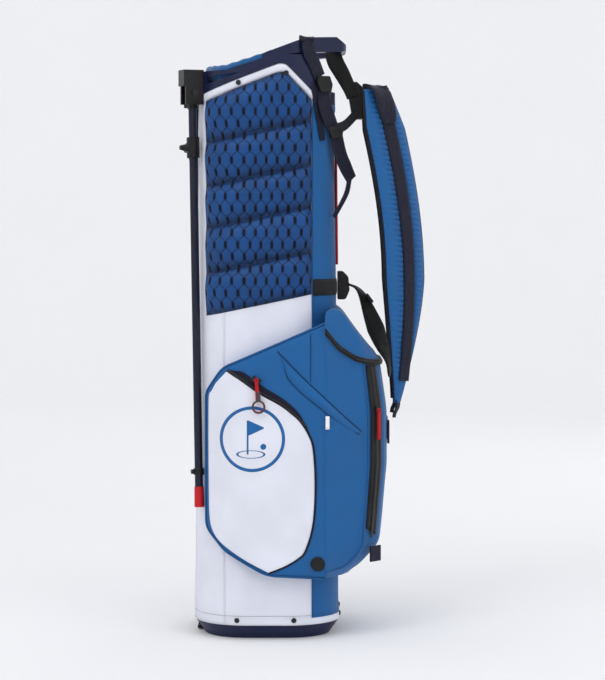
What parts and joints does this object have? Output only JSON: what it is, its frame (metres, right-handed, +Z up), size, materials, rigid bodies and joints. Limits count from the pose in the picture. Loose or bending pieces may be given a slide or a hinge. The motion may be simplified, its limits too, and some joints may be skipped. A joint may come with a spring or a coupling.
{
  "type": "golf stand bag",
  "caption": "Slim golf carry bag with folding stand legs, actuated foot plate, moulded collar with handle, side and ball pockets, and a padded double shoulder strap.",
  "frame": {"origin": "middle of the bag's footprint, on the floor under the middle foot pad", "axes": "+Z up along the bag, +X towards the spine, handle and straps, -X towards the folding legs"},
  "size_m": [0.3688, 0.2756, 0.8782],
  "materials": {
    "white_fabric": "coated woven polyester, white",
    "blue_fabric": "coated woven polyester, blue",
    "quilt_fabric": "quilted, patterned blue polyester",
    "pad_fabric": "padded blue polyester",
    "navy_webbing": "navy nylon webbing",
    "black_webbing": "black nylon webbing",
    "zip_tape": "woven zip tape with a coil",
    "divider_fabric": "soft blue divider fabric",
    "collar_plastic": "moulded navy plastic",
    "base_plastic": "moulded navy plastic, fine grain",
    "black_plastic": "moulded black plastic",
    "red_trim": "red piping",
    "red_rubber": "red rubber",
    "black_rubber": "black rubber",
    "leg_aluminium": "dark anodised aluminium tube",
    "spring_steel": "black coated steel rod",
    "dark_metal": "dark coated steel",
    "stay_fibre": "glass-fibre stiffening rod"
  },
  "bodies": {
    "bag": {"side_panel_near": "white_fabric", "side_panel_far": "white_fabric", "leg_side_panel": "white_fabric", "spine_panel": "blue_fabric", "top_trim": "white_fabric", "quilted_pads": "quilt_fabric", "spine_strip": "black_webbing", "red_piping": "red_trim", "stay_rods": "stay_fibre", "base_cup": "base_plastic", "fabric_rivets": "dark_metal", "collar": "collar_plastic", "rim_padding": "divider_fabric", "divider_padding": "divider_fabric", "divider_sheets": "divider_fabric", "leg_bracket": "black_plastic", "bracket_screws": "dark_metal", "hinge_pins": "dark_metal", "side_pocket_near": "white_fabric", "side_pocket_far": "white_fabric", "pocket_flaps": "white_fabric", "flap_zip_tapes": "zip_tape", "badge": "black_plastic", "ball_pocket": "blue_fabric", "ball_pocket_lid": "blue_fabric", "lid_zip_tape": "zip_tape", "corner_zip_tape": "zip_tape", "webbing_loop": "navy_webbing", "lower_anchors": "navy_webbing", "spine_belt": "navy_webbing", "mid_buckle": "black_plastic", "cross_strap": "black_webbing", "ladder_locks": "black_plastic", "yoke": "black_plastic", "handle_link": "navy_webbing", "handle_webbing": "navy_webbing", "top_buckle": "black_plastic", "link_webbing": "navy_webbing"},
    "leg_near": {"leg_head_near": "black_plastic", "leg_tube_near": "leg_aluminium", "leg_foot_near": "red_rubber", "leg_clamp_near": "black_plastic", "leg_clip_near": "black_plastic"},
    "leg_far": {"leg_head_far": "black_plastic", "leg_tube_far": "leg_aluminium", "leg_foot_far": "red_rubber", "leg_clamp_far": "black_plastic", "leg_clip_far": "black_plastic"},
    "rod_near": {"actuator_rod_near": "spring_steel"},
    "rod_far": {"actuator_rod_far": "spring_steel"},
    "foot_plate": {"foot_plate": "black_plastic", "foot_pads": "black_rubber"},
    "strap_near": {"shoulder_pad_near": "pad_fabric", "strap_webbing_near": "navy_webbing"},
    "strap_far": {"shoulder_pad_far": "pad_fabric", "strap_webbing_far": "navy_webbing"},
    "flap_slider": {"flap_slider": "dark_metal"},
    "flap_pull": {"flap_pull": "dark_metal"},
    "corner_slider": {"corner_slider": "dark_metal"},
    "corner_pull": {"corner_pull": "red_rubber"}
  },
  "joints": [
    {"name": "near_leg_swing", "type": "hinge", "parent": "bag", "child": "leg_near", "pos_m": [-0.10891, -0.058, 0.795], "axis": [-0.3746, 0.9272, 0], "range_deg": [0, 31]},
    {"name": "far_leg_swing", "type": "hinge", "parent": "bag", "child": "leg_far", "pos_m": [-0.10891, 0.058, 0.795], "axis": [0.3746, 0.9272, 0], "range_deg": [0, 31]},
    {"name": "near_rod_pivot", "type": "hinge", "parent": "leg_near", "child": "rod_near", "pos_m": [-0.11396, -0.04488, 0.71505], "axis": [-0.3746, 0.9272, 0], "range_deg": [-28, 0]},
    {"name": "far_rod_pivot", "type": "hinge", "parent": "leg_far", "child": "rod_far", "pos_m": [-0.11396, 0.04488, 0.71505], "axis": [0.3746, 0.9272, 0], "range_deg": [-28, 0]},
    {"name": "foot_plate_tilt", "type": "hinge", "parent": "bag", "child": "foot_plate", "pos_m": [-0.08, 0, 0.005], "axis": [0, 1, 0], "range_deg": [0, 28]},
    {"name": "near_strap_swing", "type": "hinge", "parent": "bag", "child": "strap_near", "pos_m": [0.187, -0.046, 0.319], "axis": [0.0813, -0.0761, -0.9938], "range_deg": [-12, 25], "stiffness_Nm_per_rad": 0.5},
    {"name": "far_strap_swing", "type": "hinge", "parent": "bag", "child": "strap_far", "pos_m": [0.187, 0.046, 0.319], "axis": [-0.0813, -0.0761, 0.9938], "range_deg": [-12, 25], "stiffness_Nm_per_rad": 0.5},
    {"name": "flap_zip_slide", "type": "slide", "parent": "bag", "child": "flap_slider", "axis": [0.8544, 0, -0.5196], "range_m": [-0.02, 0.05]},
    {"name": "flap_pull_swing", "type": "hinge", "parent": "flap_slider", "child": "flap_pull", "pos_m": [-0.01424, -0.1339, 0.38], "axis": [0, 1, 0], "range_deg": [-60, 60]},
    {"name": "corner_zip_slide", "type": "slide", "parent": "bag", "child": "corner_slider", "axis": [0, 0, 1], "range_m": [-0.15, 0.045]},
    {"name": "corner_pull_swing", "type": "hinge", "parent": "corner_slider", "child": "corner_pull", "pos_m": [0.1585, -0.079, 0.332], "axis": [0.749, -0.6626, 0], "range_deg": [-60, 30]}
  ],
  "couplings": [
    {"joint": "far_leg_swing", "follows": "near_leg_swing", "ratio": 1},
    {"joint": "near_rod_pivot", "follows": "near_leg_swing", "ratio": -0.89355},
    {"joint": "far_rod_pivot", "follows": "near_leg_swing", "ratio": -0.89355},
    {"joint": "foot_plate_tilt", "follows": "near_leg_swing", "ratio": 0.90323}
  ]
}
